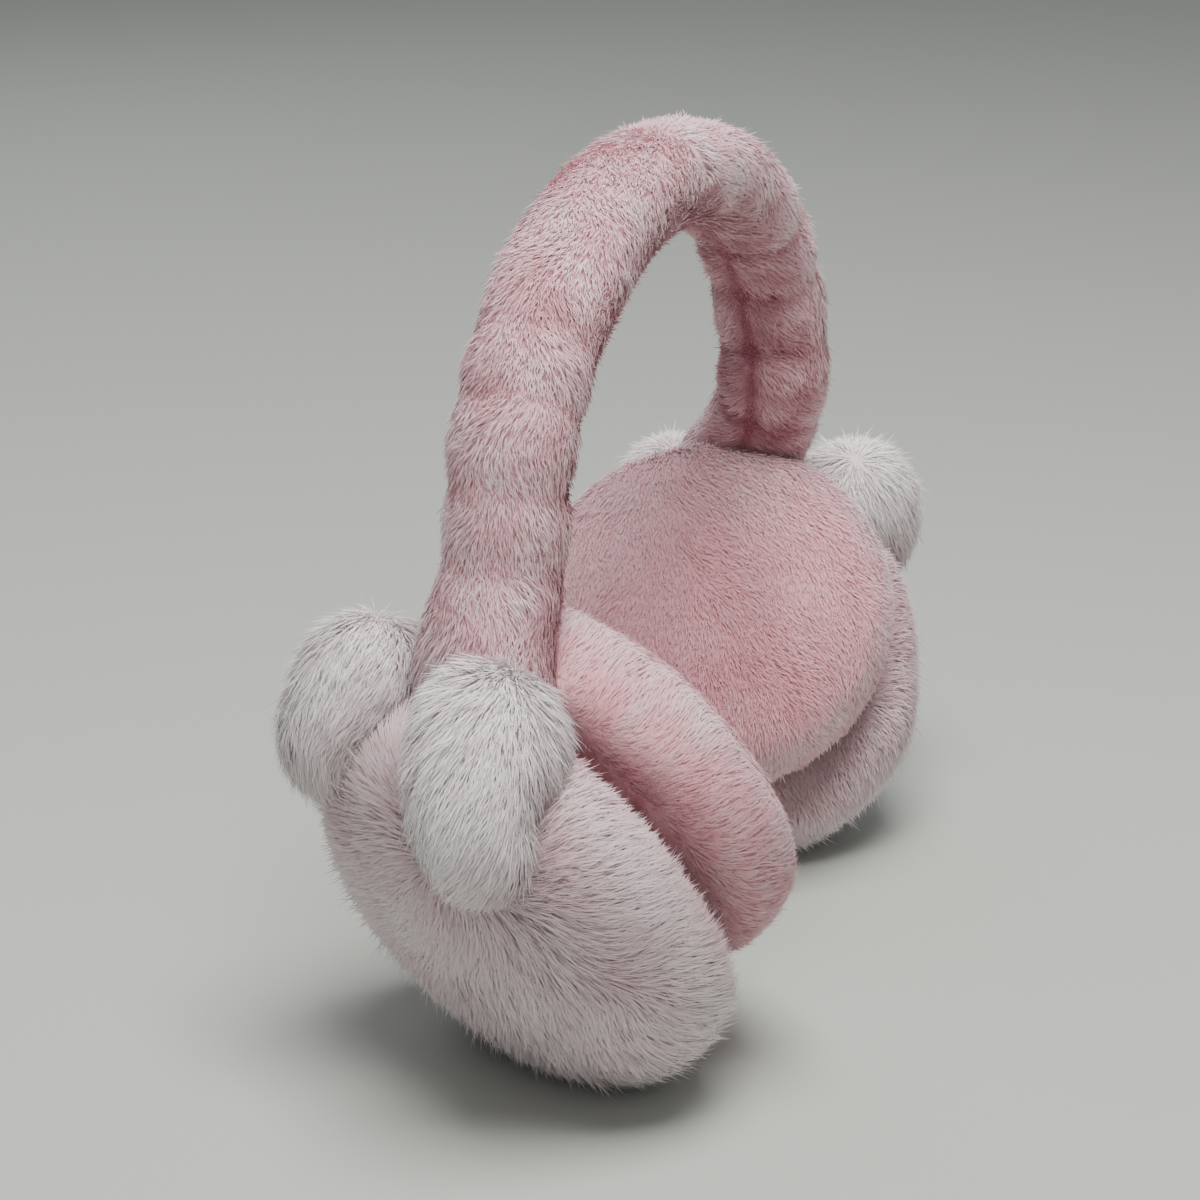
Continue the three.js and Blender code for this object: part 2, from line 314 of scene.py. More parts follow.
@dataclass
class ShellForm(Form):
    """Outer shell: a deep dome of long fur, rounded back into the crease."""

    cup: Cup

    def __post_init__(self) -> None:
        """Names the shell after its cup."""
        self.node = f"{self.cup.label}_shell"

    def surface(self, t: Array, a: Array, grow: float = 0.0) -> Array:
        """Places on the shell, dropped a little as the fur hangs."""
        out, radius = shell_profile(t, grow)
        lump = SHELL.lump * (np.sin(4 * a + 1.1) * np.cos(2 * t) + 0.6 * np.sin(7 * a + 2.0) * np.sin(t))
        radius = radius + lump * np.sin(t)
        return self.cup.to_world(np.stack([out, radius * np.sin(a), radius * np.cos(a) - SHELL.drop], -1))

    def depth_inside(self, points: Array) -> Array:
        """Below 1 inside the shell, 1 on it."""
        p = self.cup.to_local(points)
        x = p[:, 0] - SHELL.widest_at
        dome = x > 0
        e = np.where(dome, SHELL.dome_power, SHELL.back_power)
        half = np.where(dome, SHELL.depth - SHELL.widest_at, SHELL.widest_at - CREASE)
        r = np.hypot(p[:, 1], p[:, 2] + SHELL.drop) / SHELL.radius
        return ((np.abs(x) / half) ** e + r**e) ** (1 / e)

    def comb(self, points: Array, normals: Array) -> Array:
        """Fanned out over the dome and on across its rim."""
        p = self.cup.to_local(points)
        away = np.stack([np.zeros(len(p)), p[:, 1] + 16.0, p[:, 2] - 34.0], -1)
        centred = np.stack([np.zeros(len(p)), p[:, 1], p[:, 2]], -1)
        dome = smoothstep(p[:, 0], 2, 34)[:, None]
        radial = unit(dome * away + (1 - dome) * centred) @ self.cup.axes
        along = (p[:, :1] - SHELL.widest_at) / (SHELL.depth - SHELL.widest_at)
        over = np.linalg.norm(centred, axis=1, keepdims=True) / SHELL.radius
        from_fan = p - np.array(SHELL.fan)
        near = np.exp(-((np.linalg.norm(from_fan, axis=1, keepdims=True) / 24.0) ** 2))
        if self.cup.side is Side.RIGHT:
            stroke = unit(np.abs(along) * radial + 0.8 * over**2 * self.cup.axes[0]) + np.array([0, 0, -0.35])
        else:
            stroke = unit(along * radial - over**2 * self.cup.axes[0]) + np.array([0, 0, -0.35])
        return stroke + 0.8 * near * unit(from_fan) @ self.cup.axes

    def pile_length(self, points: Array, normals: Array) -> Array:
        """Shorter towards the crease, none where the cushion hides it."""
        p = self.cup.to_local(points)
        r = np.hypot(p[:, 1], p[:, 2])
        hidden = (p[:, 0] < 3.0) & (r < SHELL.radius - 10)
        return np.where(hidden, 0.0, 1.0 - 0.45 * smoothstep(-p[:, 0], -17, -4))

    def tone(self, points: Array, normals: Array) -> Array:
        """Pale, a little pinker behind, with painted shade in the crease and near the ears, and paler round
        the widest rim as painted light against the fibres' shade.
        """
        p = self.cup.to_local(points)
        r = np.hypot(p[:, 1], p[:, 2] + SHELL.drop) / SHELL.radius
        # crease: painted shade where the shell meets the cushion; the ear mask below is painted shade on the
        # pile round the ears' roots.
        crease = smoothstep(-p[:, 0], -5, -1) * (1 - smoothstep(r, 0.78, 0.86))
        painted_ear_shade = smoothstep(p[:, 2], 14, 36) * smoothstep(p[:, 0], 14, 30)
        behind = smoothstep(-p[:, 0], -20, -8)
        # The rise towards the widest rim is painted light that lifts the shade between the fibres there.
        return (0.58 - 0.12 * crease + 0.06 * smoothstep(p[:, 0], 20, 44) + 0.14 * smoothstep(r, 0.9, 1.0)
                - 0.2 * painted_ear_shade - 0.34 * behind + 0.14 * smoothstep(-p[:, 2], 0, 44))


@dataclass
class EarForm(Form):
    """A stuffed ear: a thick rounded lobe lying out over the shell's shoulder."""

    cup: Cup
    name: str
    side: int
    around_deg: float
    rise: float
    out: float
    splay_deg: float
    droop_deg: float
    half_long: float
    half_tall: float
    half_thick: float
    brush: float = 0.35
    pinch: float = 0.0
    power: float = 2.2
    rings = 36
    sides = 48

    def __post_init__(self) -> None:
        """Works out the ear's own axes and its middle."""
        self.node = self.name
        around, splay, droop = (math.radians(d) for d in (self.around_deg, self.splay_deg, self.droop_deg))
        rise = np.array([0, self.side * math.sin(around), math.cos(around)])
        away = np.array([0, self.side * math.cos(around), -math.sin(around)])
        axis = np.array([1.0, 0, 0])
        long = axis * math.cos(splay) + away * math.sin(splay)
        thick = away * math.cos(splay) - axis * math.sin(splay)
        length = long * math.cos(droop) - rise * math.sin(droop)
        tall = rise * math.cos(droop) + long * math.sin(droop)
        self.frame = np.stack([length, tall, thick]) @ self.cup.axes
        self.centre = self.cup.to_world(rise * self.rise + axis * self.out)

    def surface(self, t: Array, a: Array, grow: float = 0.0) -> Array:
        """Places on the ear, pinched in on its outer flank towards the tip."""
        e = 2 / self.power
        ring = np.abs(np.sin(t)) ** e
        local = np.stack([
            (self.half_long + grow) * signed_power(np.cos(t), e),
            (self.half_tall + grow) * ring * signed_power(np.cos(a), e),
            (self.half_thick + grow) * ring * signed_power(np.sin(a), e),
        ], -1)
        low = smoothstep(local[:, 0], -4.0, 10.0) * smoothstep(local[:, 2], 5.0, 13.0)
        local[:, 2] -= self.pinch * low * (local[:, 2] - 6.0)
        return self.centre + local @ self.frame

    def comb(self, points: Array, normals: Array) -> Array:
        """From the root of the ear out to its tip, and down."""
        p = (points - self.centre) @ self.frame.T
        spread = unit(np.stack([np.full(len(p), 14.0), -0.2 * p[:, 1], 0.3 * p[:, 2]], -1))
        flank = smoothstep(p[:, 2], 8.0, 14.0)[:, None]
        return spread @ self.frame - self.brush * self.frame[2] + (0.5 + 0.6 * flank) * np.array([0, 0, -1.0])

    def pile_length(self, points: Array, normals: Array) -> Array:
        """None inside the shell, full length a little way out of it."""
        shell = ShellForm(self.cup).depth_inside(points)
        return np.where(shell < 0.95, 0.0, 0.55 + 0.45 * smoothstep(shell, 0.95, 1.1))

    def tone(self, points: Array, normals: Array) -> Array:
        """Nearly white, with painted shade on the flank, underneath and where the ear meets the shell."""
        shell = ShellForm(self.cup).depth_inside(points)
        p = (points - self.centre) @ self.frame.T
        # Painted shade: the flank and under masks darken the side away from the light and the underside, and
        # the low tone near the shell darkens the ear's root.
        flank = smoothstep(p[:, 2], 6.0, 14.0) * smoothstep(p[:, 0], -14.0, 6.0)
        under = smoothstep(self.centre[2] - points[:, 2], 2.0, 22.0)
        return 0.42 + 0.4 * smoothstep(shell, 0.98, 1.25) - 0.42 * flank - 0.34 * under * (1 - flank)


@dataclass(frozen=True)
class Gather:
    """A ruck across the band's cover."""

    along: float
    depth: float
    half: float


ARCH_POINTS = 9  # points that the arch is drawn through
STEPS_PER_SPAN = 40  # steps of the curve between two points
STATIONS = 401  # even stations along the band


@dataclass
class BandForm(Form):
    """Headband: a flattened fur tube from inside one crease to inside the other."""

    cups: tuple[Cup, Cup]
    gathers: tuple[Gather, ...]
    half_width: float = 16.0
    half_depth: float = 13.3
    power: float = 2.3
    half_span: float = 90.0
    shoulder_z: float = 131.0
    top_z: float = 205.8
    arch_power: float = 2.1
    arch_centre: tuple[float, float] = (-0.14, -1.28)
    foot_inner: float = 36.0
    foot_rim: float = 51.0
    flare: float = 1.10
    flare_length: float = 26.0
    seam_shift: float = 3.5
    rings = 220
    sides = 40

    def __post_init__(self) -> None:
        """Works out the centre line and the two cross axes at every station."""
        self.node = "headband_fur"
        angle = math.pi * (1 - np.linspace(0, 1, ARCH_POINTS))
        arch = np.stack([
            self.half_span * signed_power(np.cos(angle), 2 / self.arch_power) + self.arch_centre[0],
            np.full(ARCH_POINTS, self.arch_centre[1]),
            self.shoulder_z + (self.top_z - self.shoulder_z) * np.abs(np.sin(angle)) ** (2 / self.arch_power),
        ], -1)
        heights = (self.foot_inner, self.foot_rim)
        foot = [cup.to_world(np.array([[0, 0, height]])) for cup in self.cups for height in heights]
        control = np.concatenate([foot[0], foot[1], arch, foot[3], foot[2]])
        self.line = self._even(self._centripetal(control), STATIONS)
        step = np.linalg.norm(np.diff(self.line, axis=0), axis=1)
        self.along = np.concatenate([[0], np.cumsum(step)])
        self.length = float(self.along[-1])
        self.tangent = unit(np.gradient(self.line, axis=0))
        u = self.along / self.length
        blend = np.stack([1 - smoothstep(u, 0.05, 0.35), smoothstep(u, 0.65, 0.95)], -1)
        wide = (1 - blend.sum(1, keepdims=True)) * np.array([0, 1.0, 0])
        wide = wide + blend[:, :1] * self.cups[0].axes[1] + blend[:, 1:] * self.cups[1].axes[1]
        self.wide = unit(wide - dot(wide, self.tangent) * self.tangent)
        self.deep = np.cross(self.tangent, self.wide)

    @staticmethod
    def _centripetal(control: Array) -> Array:
        """Smooth curve through every control point, without overshoot at close ones."""

        def blend(p: Array, q: Array, low: float, high: float) -> Array:
            """Straight line from p at low to q at high, read at k."""
            return ((high - k) * p + (k - low) * q) / (high - low)

        ends = np.concatenate([[2 * control[0] - control[1]], control, [2 * control[-1] - control[-2]]])
        curve = []
        for p0, p1, p2, p3 in (ends[i:i + 4] for i in range(len(ends) - 3)):
            gaps = np.linalg.norm([p1 - p0, p2 - p1, p3 - p2], axis=1) ** 0.5
            t0, t1, t2, t3 = np.concatenate([[0], np.cumsum(gaps)])
            k = np.linspace(t1, t2, STEPS_PER_SPAN, endpoint=False)[:, None]
            a1, a2, a3 = blend(p0, p1, t0, t1), blend(p1, p2, t1, t2), blend(p2, p3, t2, t3)
            curve.append(blend(blend(a1, a2, t0, t2), blend(a2, a3, t1, t3), t1, t2))
        return np.concatenate(curve + [control[-1:]])

    @staticmethod
    def _even(curve: Array, count: int) -> Array:
        """The same curve with evenly spaced stations."""
        run = np.concatenate([[0], np.cumsum(np.linalg.norm(np.diff(curve, axis=0), axis=1))])
        at = np.linspace(0, run[-1], count)
        return np.stack([np.interp(at, run, curve[:, k]) for k in range(3)], -1)

    def _lookup(self, table: Array, along: Array) -> Array:
        """A table of vectors, one to a station, read at distances along the band."""
        return np.stack([np.interp(along, self.along, table[:, k]) for k in range(3)], -1)

    def _squeeze(self, along: Array) -> tuple[Array, Array]:
        """How far the gathers pull the cover in, and how much it flares, at each station."""
        inside = self.foot_rim - self.foot_inner
        gather = sum(g.depth * np.exp(-(((along - inside - g.along) / g.half) ** 2)) for g in self.gathers)
        from_end = np.maximum(0, np.minimum(along, self.length - along) - inside)
        flare = 1 + (self.flare - 1) * (1 - smoothstep(from_end, 0, self.flare_length))
        return gather, flare

    def surface(self, t: Array, a: Array, grow: float = 0.0) -> Array:
        """Places on the band, gathered at the rucks and rounded off at its ends."""
        along = self.length * (1 - np.cos(t)) / 2
        cap = self.half_depth * 0.6
        end = np.clip(np.minimum(along, self.length - along) / cap, 0, 1)
        scale = np.sqrt(1 - (1 - end) ** 2)
        gather, flare = self._squeeze(along)
        w = (self.half_width * flare - gather + grow) * scale
        d = (self.half_depth * flare - gather + grow) * scale
        e = 2 / self.power
        return (self._lookup(self.line, along)
                + (w * signed_power(np.cos(a), e))[:, None] * self._lookup(self.wide, along)
                + (d * signed_power(np.sin(a), e))[:, None] * self._lookup(self.deep, along))

    def locate(self, points: Array) -> tuple[Array, Array, Array]:
        """Station, sideways and inward offset of each place from the centre line."""
        station = np.empty(len(points), int)
        for start in range(0, len(points), 4000):
            part = points[start:start + 4000]
            gap = ((part[:, None, :] - self.line[None]) ** 2).sum(-1)
            station[start:start + 4000] = gap.argmin(1)
        offset = points - self.line[station]
        return station, dot(offset, self.wide[station])[:, 0], dot(offset, self.deep[station])[:, 0]

    @property
    def inward(self) -> float:
        """Sign of the deep axis that points into the arch."""
        middle = len(self.line) // 2
        return -1.0 if self.deep[middle][2] > 0 else 1.0

    def depth_inside(self, points: Array) -> Array:
        """Below 1 inside the band, 1 on it."""
        station, wide, deep = self.locate(points)
        _, flare = self._squeeze(self.along[station])
        w = np.abs(wide) / (self.half_width * flare)
        d = np.abs(deep) / (self.half_depth * flare)
        inside = (w**self.power + d**self.power) ** (1 / self.power)
        beyond = np.abs(dot(points - self.line[station], self.tangent[station])[:, 0])
        return inside + np.where(beyond > 2.0, beyond / 8.0, 0.0)

    def comb(self, points: Array, normals: Array) -> Array:
        """Down both legs, and parted along the seam."""
        station, wide, deep = self.locate(points)
        down = np.where(self.tangent[station][:, 2:] > 0, -1.0, 1.0) * self.tangent[station]
        level = 1 - np.abs(self.tangent[station][:, 2:])
        inner = smoothstep(deep * self.inward / self.half_depth, 0.1, 0.6)
        part = inner * np.tanh((wide - self.seam_shift) / 1.2) + (1 - inner) * 0.6 * wide / self.half_width
        across = self.wide[station] * part[:, None] * (0.7 + 0.3 * level)
        return down * (0.9 - 0.45 * level - 0.45 * inner[:, None]) + across + np.array([0, 0, -0.2])

    def _seam(self, points: Array) -> Array:
        """1 on the seam along the inner side, 0 away from it."""
        station, wide, deep = self.locate(points)
        inner = deep * self.inward > 0.3 * self.half_depth
        return np.where(inner, 1 - smoothstep(np.abs(wide - self.seam_shift), 0.5, 2.6), 0.0)

    def _ruck(self, points: Array) -> Array:
        """How deep in a ruck each place lies, 0 away from all of them."""
        station, _, _ = self.locate(points)
        along = self.along[station] - (self.foot_rim - self.foot_inner)
        return sum(
            g.depth / 1.2 * np.exp(-(((along - g.along) / (0.55 * g.half)) ** 2))
            for g in self.gathers
        )

    def pile_length(self, points: Array, normals: Array) -> Array:
        """Fuller at the feet, short in the seam and the rucks, none inside the cups."""
        station, _, _ = self.locate(points)
        along = self.along[station]
        inside = self.foot_rim - self.foot_inner - 7.0
        grown = (along > inside) & (along < self.length - inside)
        from_foot = np.minimum(along, self.length - along) - inside
        fuller = 1 + 0.5 * (1 - smoothstep(from_foot, 4.0, 26.0))
        return np.where(grown, fuller * (1 - 0.75 * self._seam(points)) * (1 - 0.3 * self._ruck(points)), 0.0)

    def tone(self, points: Array, normals: Array) -> Array:
        """Pink, rosier in the seam and in one patch outside, with painted shade inside the arch and in the
        rucks.
        """
        station, wide, deep = self.locate(points)
        # inner: painted shade on the side facing into the arch.
        inner = smoothstep(deep * self.inward / self.half_depth, -0.2, 0.9)
        patch = ((self.along[station] - 103) / 13) ** 2
        outer = (deep * self.inward < 0) * np.exp(-patch - ((wide + 5) / 8) ** 2)
        # Painted shade in the rucks, deeper on the inner side.
        painted_ruck_shade = self._ruck(points) * (0.16 + 0.2 * inner)
        return 0.62 - 0.26 * inner - 0.34 * self._seam(points) - painted_ruck_shade - 0.26 * outer


# ---- colour ----------------------------------------------------------------------------------
def linear(hex_colour: str) -> tuple[float, float, float, float]:
    """sRGB hex to the linear colour a shader takes."""
    parts = [int(hex_colour[k:k + 2], 16) / 255 for k in (1, 3, 5)]
    return (*(c / 12.92 if c <= 0.04045 else ((c + 0.055) / 1.055) ** 2.4 for c in parts), 1.0)


def add(
    tree: bpy.types.NodeTree,
    kind: str,
    values: dict | None = None,
    links: dict | None = None,
    **settings: object,
) -> bpy.types.Node:
    """Adds one shader node.

    Args:
        tree: the material's node tree.
        kind: the node's type name.
        values: input name or index to constant value.
        links: input name or index to the socket that feeds it.
        settings: plain properties of the node.
    Returns:
        The new node.
    """
    node = tree.nodes.new(kind)
    for key, value in settings.items():
        setattr(node, key, value)
    for key, value in (values or {}).items():
        node.inputs[key].default_value = value
    for key, socket in (links or {}).items():
        tree.links.new(socket, node.inputs[key])
    return node


def set_ramp(node: bpy.types.Node, stops: tuple[tuple[float, str], ...]) -> None:
    """Gives a colour ramp its stops."""
    elements = node.color_ramp.elements
    while len(elements) < len(stops):
        elements.new(0.5)
    for element, (place, colour) in zip(elements, stops):
        element.position = place
        element.color = linear(colour)


@dataclass(frozen=True)
class Plush:
    """Polyester plush: fine crimped fibre tufted into a knitted backing and brushed out.

    Colours run from tone 0 to tone 1, at the fibre's root and at its tip.
    """

    name: str
    slot: str
    roots: tuple[str, str, str]
    tips: tuple[str, str, str]
    backing: tuple[str, str, str]
    roughness: float = 0.88
    sheen: float = 0.3
    sheen_tint: str = "#EDE7EA"

    def _base(self, suffix: str) -> tuple[bpy.types.Material, bpy.types.NodeTree, bpy.types.Node]:
        """A new material with the plush's soft shine, its node tree and its shader."""
        material = bpy.data.materials.new(f"{self.name}_{suffix}")
        material.use_nodes = True
        tree = material.node_tree
        shader = tree.nodes["Principled BSDF"]
        shader.inputs["Roughness"].default_value = self.roughness
        shader.inputs["Specular IOR Level"].default_value = 0.18
        shader.inputs["Sheen Weight"].default_value = self.sheen
        shader.inputs["Sheen Roughness"].default_value = 0.55
        shader.inputs["Sheen Tint"].default_value = linear(self.sheen_tint)
        return material, tree, shader

    def fibre(self) -> bpy.types.Material:
        """Fibre colour from its own map: across is tone, up is root to tip."""
        material, tree, shader = self._base("fibre")
        uv = add(tree, "ShaderNodeUVMap", uv_map="OFBake")
        split = add(tree, "ShaderNodeSeparateXYZ", links={0: uv.outputs[0]})
        ramps = []
        for colours in (self.roots, self.tips):
            ramp = add(tree, "ShaderNodeValToRGB", links={0: split.outputs[0]})
            set_ramp(ramp, tuple(zip((0.0, 0.5, 1.0), colours)))
            ramps.append(ramp)
        fade = add(tree, "ShaderNodeMapRange", interpolation_type="SMOOTHSTEP",
                   values={1: 0.05, 2: 0.75}, links={0: split.outputs[1]})
        mix = add(tree, "ShaderNodeMix", data_type="RGBA",
                  links={0: fade.outputs[0], 6: ramps[0].outputs[0], 7: ramps[1].outputs[0]})
        tree.links.new(mix.outputs[2], shader.inputs["Base Color"])
        return material

    def cloth(self) -> bpy.types.Material:
        """Backing seen between the fibres: root colour by tone, mottled, with a nap of about 0.8 mm."""
        material, tree, shader = self._base("backing")
        place = add(tree, "ShaderNodeTexCoord")
        tone = add(tree, "ShaderNodeAttribute", attribute_name="tone")
        mottle = add(tree, "ShaderNodeTexNoise",
                     values={"Scale": 1000 / 6.0, "Detail": 4.0, "Roughness": 0.6},
                     links={"Vector": place.outputs["Object"]})
        swing = add(tree, "ShaderNodeMapRange", values={1: 0.3, 2: 0.7, 3: -0.12, 4: 0.12},
                    links={0: mottle.outputs[0]})
        total = add(tree, "ShaderNodeMath", operation="ADD",
                    links={0: tone.outputs["Fac"], 1: swing.outputs[0]})
        colour = add(tree, "ShaderNodeValToRGB", links={0: total.outputs[0]})
        set_ramp(colour, tuple(zip((0.0, 0.5, 1.0), self.backing)))
        nap = add(tree, "ShaderNodeTexNoise", values={"Scale": 1000 / 0.8, "Detail": 3.0, "Roughness": 0.7},
                  links={"Vector": place.outputs["Object"]})
        bump = add(tree, "ShaderNodeBump", values={"Strength": 0.6, "Distance": 0.0008},
                   links={"Height": nap.outputs[0]})
        tree.links.new(colour.outputs[0], shader.inputs["Base Color"])
        tree.links.new(bump.outputs[0], shader.inputs["Normal"])
        return material


# ---- skins -----------------------------------------------------------------------------------
SOLVE_FRAMES = 18
SHELL_GIVE = 0.97  # how far into a shell a neighbour may press, as a share of the shell
DEEPEST = 0.35  # points further inside a neighbour than this are moved as if at this depth


@dataclass
class Skin:
    """The stuffed cover under the pile, a little inside the form's outline."""

    form: Form
    inset: float
    voxel: float
    swell: float
    clear: tuple[Form, ...] = ()
    floor: float = 1.4

    def build(self, material: bpy.types.Material) -> bpy.types.Object:
        """Shapes a sphere into the form, swells it as stuffed cloth and clears its neighbours."""
        bm = bmesh.new()
        bmesh.ops.create_uvsphere(bm, u_segments=self.form.sides, v_segments=self.form.rings, radius=1.0)
        unit_co = np.array([v.co for v in bm.verts])
        t = np.arccos(np.clip(unit_co[:, 2], -1, 1))
        a = np.arctan2(unit_co[:, 1], unit_co[:, 0])
        shrink = self.inset + self.swell * 0.5
        for vert, place in zip(bm.verts, self.form.surface(t, a, -shrink) * MM):
            vert.co = place
        bmesh.ops.recalc_face_normals(bm, faces=bm.faces)
        mesh = bpy.data.meshes.new(self.form.node + "_skin")
        bm.to_mesh(mesh)
        bm.free()
        skin = bpy.data.objects.new(self.form.node + "_skin", mesh)
        bpy.context.collection.objects.link(skin)
        self._modify(skin, "REMESH", mode="VOXEL", voxel_size=self.voxel * MM)
        self._stuff(skin)
        points = self._read(skin.data)
        points = self._cleared(points)
        self._write(skin.data, points)
        self._modify(skin, "SUBSURF", levels=1, render_levels=1)
        points = self._read(skin.data)
        points[:, 2] = np.maximum(points[:, 2], self.floor)
        self._write(skin.data, points)
        skin.data.polygons.foreach_set("use_smooth", [True] * len(skin.data.polygons))
        tone = skin.data.attributes.new("tone", "FLOAT", "POINT")
        normals = np.empty(len(points) * 3)
        skin.data.vertices.foreach_get("normal", normals)
        tone.data.foreach_set("value", self.form.tone(points, normals.reshape(-1, 3)))
        skin.data.materials.append(material)
        return skin

    @staticmethod
    def _read(mesh: bpy.types.Mesh) -> Array:
        """The mesh's points, in millimetres."""
        flat = np.empty(len(mesh.vertices) * 3)
        mesh.vertices.foreach_get("co", flat)
        return flat.reshape(-1, 3) / MM

    @staticmethod
    def _write(mesh: bpy.types.Mesh, points: Array) -> None:
        """Moves the mesh's points to places in millimetres."""
        mesh.vertices.foreach_set("co", (points * MM).ravel())
        mesh.update()

    @staticmethod
    def _modify(skin: bpy.types.Object, kind: str, **settings: object) -> None:
        """Adds a modifier and applies it at once."""
        modifier = skin.modifiers.new(kind.title(), kind)
        for key, value in settings.items():
            setattr(modifier, key, value)
        graph = bpy.context.evaluated_depsgraph_get()
        made = bpy.data.meshes.new_from_object(skin.evaluated_get(graph))
        skin.modifiers.clear()
        skin.data = made

    def _stuff(self, skin: bpy.types.Object) -> None:
        """Lets air pressure swell the cover, no point further than the swell allows."""
        before = self._read(skin.data)
        cloth = skin.modifiers.new("Cloth", "CLOTH")
        cloth.settings.quality = 4
        cloth.settings.mass = 0.2
        cloth.settings.tension_stiffness = 8
        cloth.settings.bending_stiffness = 0.3
        cloth.settings.use_pressure = True
        cloth.settings.uniform_pressure_force = 4
        cloth.settings.effector_weights.gravity = 0
        scene = bpy.context.scene
        for frame_number in range(1, SOLVE_FRAMES + 1):
            scene.frame_set(frame_number)
        graph = bpy.context.evaluated_depsgraph_get()
        solved = bpy.data.meshes.new_from_object(skin.evaluated_get(graph))
        after = self._read(solved)
        skin.modifiers.clear()
        scene.frame_set(1)
        bpy.data.meshes.remove(solved)
        move = after - before
        reach = np.linalg.norm(move, axis=1, keepdims=True)
        move *= np.minimum(1.0, self.swell / np.maximum(reach, 1e-6))
        self._write(skin.data, before + move)

    def _cleared(self, points: Array) -> Array:
        """Pushes points out of the neighbours, as soft covers give where they meet."""
        for other in self.clear:
            inside = other.depth_inside(points) / (SHELL_GIVE if isinstance(other, ShellForm) else 1.0)
            near = inside < 1.0
            if not near.any():
                continue
            if isinstance(other, BandForm):
                station, _, _ = other.locate(points[near])
                hub = other.line[station]
            else:
                depth = SHELL.widest_at if isinstance(other, ShellForm) else -PAD.depth / 2
                hub = other.cup.to_world(np.array([[depth, 0, 0]]))
            points[near] = hub + (points[near] - hub) / np.maximum(inside[near], DEEPEST)[:, None]
        return points


# ---- pile ------------------------------------------------------------------------------------
@dataclass(frozen=True)
class Pile:
    """One kind of fur. Lengths in millimetres, angles in degrees from the surface."""

    count: int
    length: float
    spread: float
    width: float
    root_angle: float
    tip_angle: float
    clump: int
    pull: float
    stray_deg: float
    swirl: float
    swirl_size: float
    curl: float
    tone_noise: float
    tone_size: float
    fly: float = 0.04


LIFT_DEG = 5  # spread of the fibres' lift
FLYAWAY_DEG = (12, 38)  # extra lift of the few that stand away
LOWER_PART = 0.45  # share of a fibre below its bend
FIBRE_TONE = 0.035  # spread of tone from fibre to fibre
ROOT_DEPTH = 0.4  # how far the roots sit in the cover


